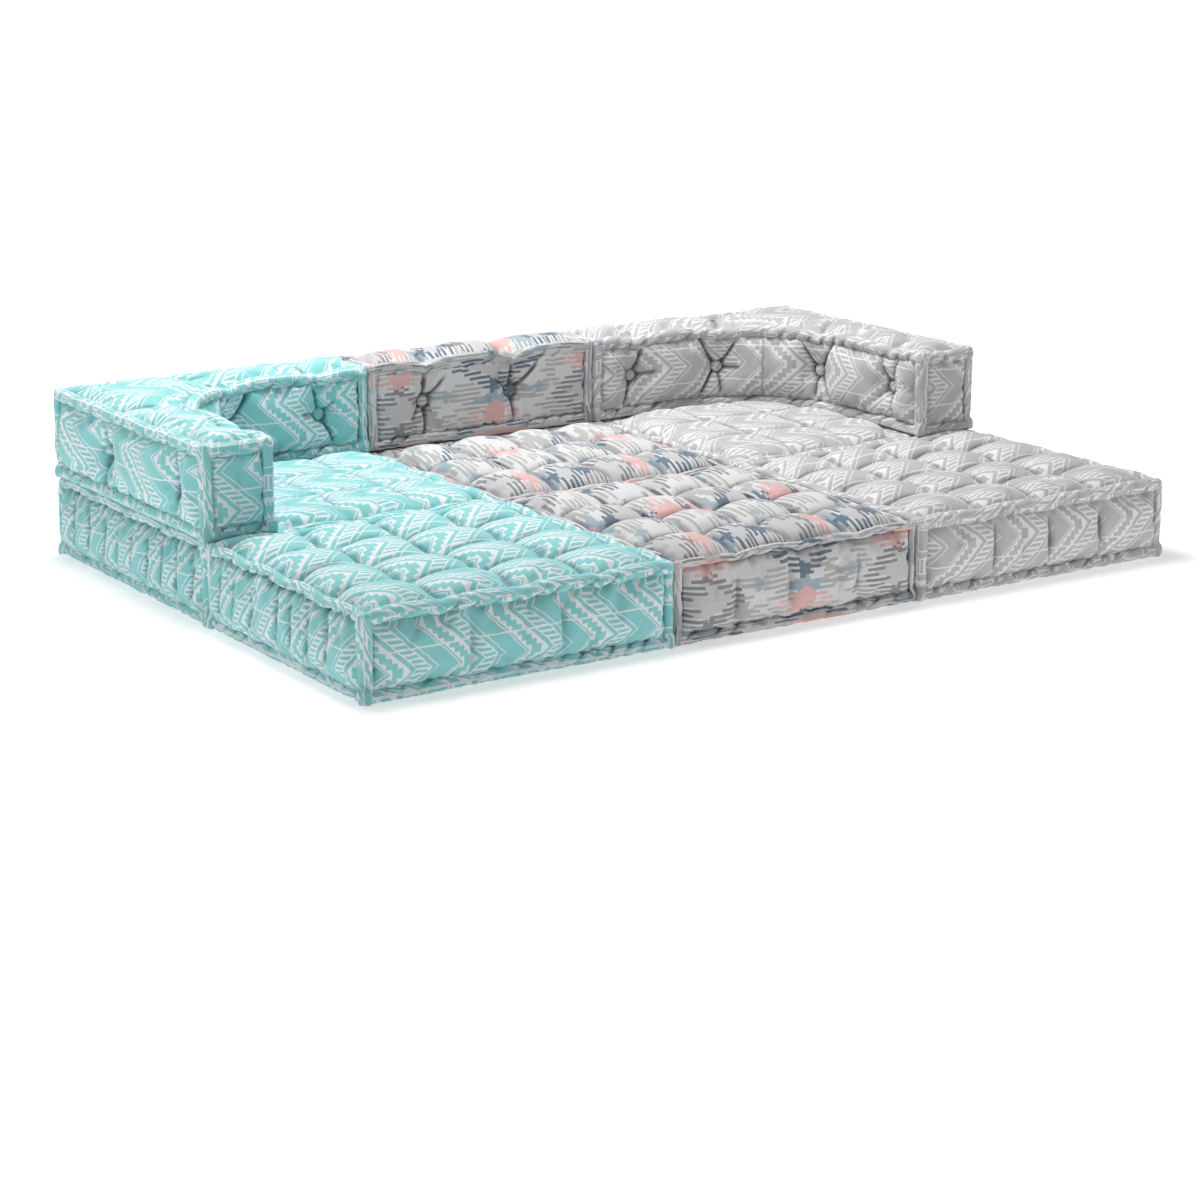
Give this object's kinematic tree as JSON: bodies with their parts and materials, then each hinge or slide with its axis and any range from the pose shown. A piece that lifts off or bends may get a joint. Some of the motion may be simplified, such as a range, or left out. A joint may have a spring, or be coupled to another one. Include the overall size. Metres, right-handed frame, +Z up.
{
  "type": "modular low floor sofa",
  "caption": "Low floor sofa of loose tufted mattress seats with a straight back and rounded corner backs, in teal chevron, blue and coral ikat and grey chevron.",
  "frame": {"origin": "centre of the whole sofa's footprint, on the floor", "axes": "+X along the sofa to the grey corner, +Y to the rear, +Z up"},
  "size_m": [2.3044, 1.5744, 0.4263],
  "materials": {
    "teal_chevron": "matt woven cotton, teal with pale zigzag bands",
    "ikat_print": "matt woven cotton, off-white with slate, coral and grey ikat dashes",
    "grey_chevron": "matt woven cotton, grey with off-white zigzag bands",
    "foam_core": "open-cell foam",
    "cotton_twine": "waxed cotton twine",
    "underside_lining": "plain woven lining"
  },
  "bodies": {
    "front_left_seat": {"front_left_seat_cover": "teal_chevron", "front_left_seat_core": "foam_core", "front_left_seat_rolls": "teal_chevron", "front_left_seat_ties": "cotton_twine", "front_left_seat_underside": "underside_lining"},
    "front_middle_seat": {"front_middle_seat_cover": "ikat_print", "front_middle_seat_core": "foam_core", "front_middle_seat_rolls": "ikat_print", "front_middle_seat_ties": "cotton_twine", "front_middle_seat_underside": "underside_lining"},
    "front_right_seat": {"front_right_seat_cover": "grey_chevron", "front_right_seat_core": "foam_core", "front_right_seat_rolls": "grey_chevron", "front_right_seat_ties": "cotton_twine", "front_right_seat_underside": "underside_lining"},
    "rear_left_seat": {"rear_left_seat_cover": "teal_chevron", "rear_left_seat_core": "foam_core", "rear_left_seat_rolls": "teal_chevron", "rear_left_seat_ties": "cotton_twine", "rear_left_seat_underside": "underside_lining"},
    "rear_middle_seat": {"rear_middle_seat_cover": "ikat_print", "rear_middle_seat_core": "foam_core", "rear_middle_seat_rolls": "ikat_print", "rear_middle_seat_ties": "cotton_twine", "rear_middle_seat_underside": "underside_lining"},
    "rear_right_seat": {"rear_right_seat_cover": "grey_chevron", "rear_right_seat_core": "foam_core", "rear_right_seat_rolls": "grey_chevron", "rear_right_seat_ties": "cotton_twine", "rear_right_seat_underside": "underside_lining"},
    "left_back": {"left_back_cover": "teal_chevron", "left_back_core": "foam_core", "left_back_rolls": "teal_chevron", "left_back_ties": "cotton_twine", "left_back_underside": "underside_lining", "left_back_buttons": "teal_chevron"},
    "middle_back": {"middle_back_cover": "ikat_print", "middle_back_core": "foam_core", "middle_back_rolls": "ikat_print", "middle_back_ties": "cotton_twine", "middle_back_underside": "underside_lining", "middle_back_buttons": "ikat_print"},
    "right_back": {"right_back_cover": "grey_chevron", "right_back_core": "foam_core", "right_back_rolls": "grey_chevron", "right_back_ties": "cotton_twine", "right_back_underside": "underside_lining", "right_back_buttons": "grey_chevron"}
  },
  "joints": [
    {"name": "rear_left_seat_slide", "type": "slide", "parent": "rear_middle_seat", "child": "rear_left_seat", "axis": [-1, 0, 0], "range_m": [0, 0.3]},
    {"name": "rear_right_seat_slide", "type": "slide", "parent": "rear_middle_seat", "child": "rear_right_seat", "axis": [1, 0, 0], "range_m": [0, 0.3]},
    {"name": "front_left_seat_slide", "type": "slide", "parent": "rear_left_seat", "child": "front_left_seat", "axis": [0, -1, 0], "range_m": [0, 0.75]},
    {"name": "front_middle_seat_slide", "type": "slide", "parent": "rear_middle_seat", "child": "front_middle_seat", "axis": [0, -1, 0], "range_m": [0, 0.75]},
    {"name": "front_right_seat_slide", "type": "slide", "parent": "rear_right_seat", "child": "front_right_seat", "axis": [0, -1, 0], "range_m": [0, 0.75]},
    {"name": "left_back_lift", "type": "slide", "parent": "rear_left_seat", "child": "left_back", "axis": [0, 0, 1], "range_m": [0, 0.25]},
    {"name": "middle_back_lift", "type": "slide", "parent": "rear_middle_seat", "child": "middle_back", "axis": [0, 0, 1], "range_m": [0, 0.25]},
    {"name": "right_back_lift", "type": "slide", "parent": "rear_right_seat", "child": "right_back", "axis": [0, 0, 1], "range_m": [0, 0.25]}
  ]
}
